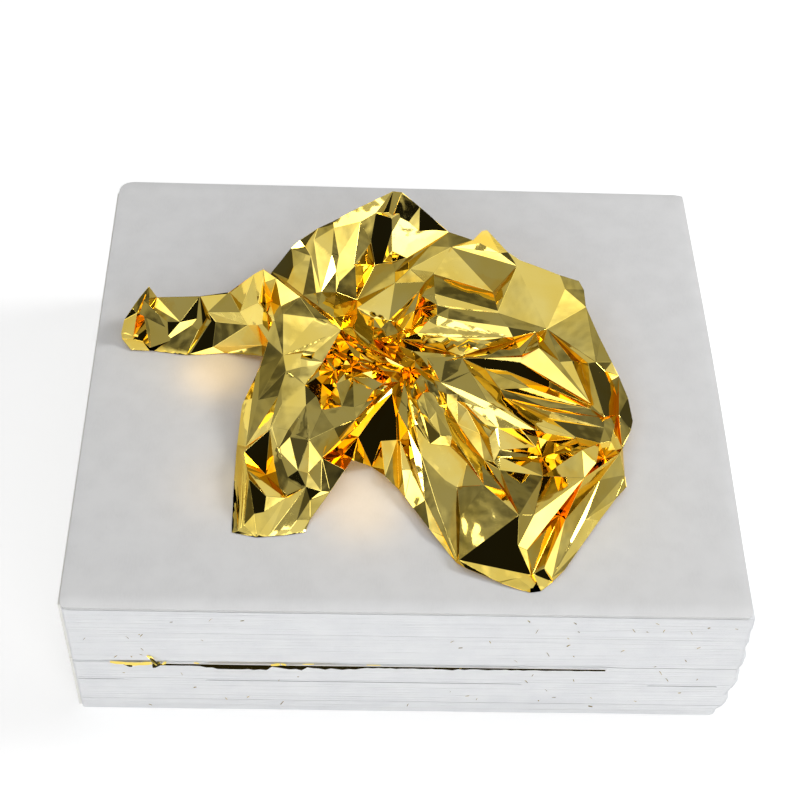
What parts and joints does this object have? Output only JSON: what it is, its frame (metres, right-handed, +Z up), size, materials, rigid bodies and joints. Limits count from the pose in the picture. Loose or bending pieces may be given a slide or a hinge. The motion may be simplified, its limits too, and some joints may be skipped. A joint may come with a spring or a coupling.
{
  "type": "gold leaf booklet pack",
  "caption": "Stack of gold leaf booklets bound at one edge, square leaves laid between tissue pages, with the top pages free to turn and one leaf lying crumpled on top.",
  "frame": {"origin": "middle of the base, on the surface the pack rests on", "axes": "+Z up, +X from the spine to the fore edge, -Y the front edge"},
  "size_m": [0.164, 0.144, 0.0749],
  "materials": {
    "page_tissue": "matt tissue, cut edge",
    "turning_page_tissue": "matt tissue",
    "spine_glue": "dried white glue",
    "gold_leaf": "bright leaf",
    "crumpled_leaf": "mirror bright, creased"
  },
  "bodies": {
    "booklet_6": {"booklet_6_pages": "page_tissue", "booklet_6_leaves": "gold_leaf", "booklet_6_spine_glue": "spine_glue"},
    "booklet_5": {"booklet_5_pages": "page_tissue", "booklet_5_leaves": "gold_leaf", "booklet_5_spine_glue": "spine_glue"},
    "booklet_4": {"booklet_4_pages": "page_tissue", "booklet_4_leaves": "gold_leaf", "booklet_4_spine_glue": "spine_glue", "slipped_leaf": "gold_leaf"},
    "booklet_3": {"booklet_3_pages": "page_tissue", "booklet_3_leaves": "gold_leaf", "booklet_3_spine_glue": "spine_glue"},
    "booklet_2": {"booklet_2_pages": "page_tissue", "booklet_2_leaves": "gold_leaf", "booklet_2_spine_glue": "spine_glue"},
    "booklet_1": {"booklet_1_pages": "page_tissue", "booklet_1_leaves": "gold_leaf", "booklet_1_spine_glue": "spine_glue", "leaf_under_page_3": "gold_leaf"},
    "page_3": {"turning_page_3": "turning_page_tissue", "leaf_under_page_2": "gold_leaf"},
    "page_2": {"turning_page_2": "turning_page_tissue", "leaf_under_page_1": "gold_leaf"},
    "page_1": {"turning_page_1": "turning_page_tissue"},
    "loose_leaf": {"loose_crumpled_leaf": "crumpled_leaf"}
  },
  "joints": [
    {"name": "booklet_5_lift", "type": "slide", "parent": "booklet_6", "child": "booklet_5", "axis": [0, 0, 1], "range_m": [0, 0.025]},
    {"name": "booklet_4_lift", "type": "slide", "parent": "booklet_5", "child": "booklet_4", "axis": [0, 0, 1], "range_m": [0, 0.025]},
    {"name": "booklet_3_lift", "type": "slide", "parent": "booklet_4", "child": "booklet_3", "axis": [0, 0, 1], "range_m": [0, 0.025]},
    {"name": "booklet_2_lift", "type": "slide", "parent": "booklet_3", "child": "booklet_2", "axis": [0, 0, 1], "range_m": [0, 0.025]},
    {"name": "booklet_1_lift", "type": "slide", "parent": "booklet_2", "child": "booklet_1", "axis": [0, 0, 1], "range_m": [0, 0.025]},
    {"name": "page_1_turn", "type": "hinge", "parent": "booklet_1", "child": "page_1", "pos_m": [-0.082, 0, 0.04702], "axis": [0, -1, 0], "range_deg": [0, 180]},
    {"name": "page_2_turn", "type": "hinge", "parent": "booklet_1", "child": "page_2", "pos_m": [-0.082, 0, 0.04702], "axis": [0, -1, 0], "range_deg": [0, 120]},
    {"name": "page_3_turn", "type": "hinge", "parent": "booklet_1", "child": "page_3", "pos_m": [-0.082, 0, 0.04702], "axis": [0, -1, 0], "range_deg": [0, 60]},
    {"name": "loose_leaf_lift", "type": "slide", "parent": "page_1", "child": "loose_leaf", "axis": [0, 0, 1], "range_m": [0, 0.06]}
  ],
  "couplings": [
    {"joint": "page_2_turn", "follows": "page_1_turn", "ratio": 0.66667},
    {"joint": "page_3_turn", "follows": "page_1_turn", "ratio": 0.33333}
  ]
}
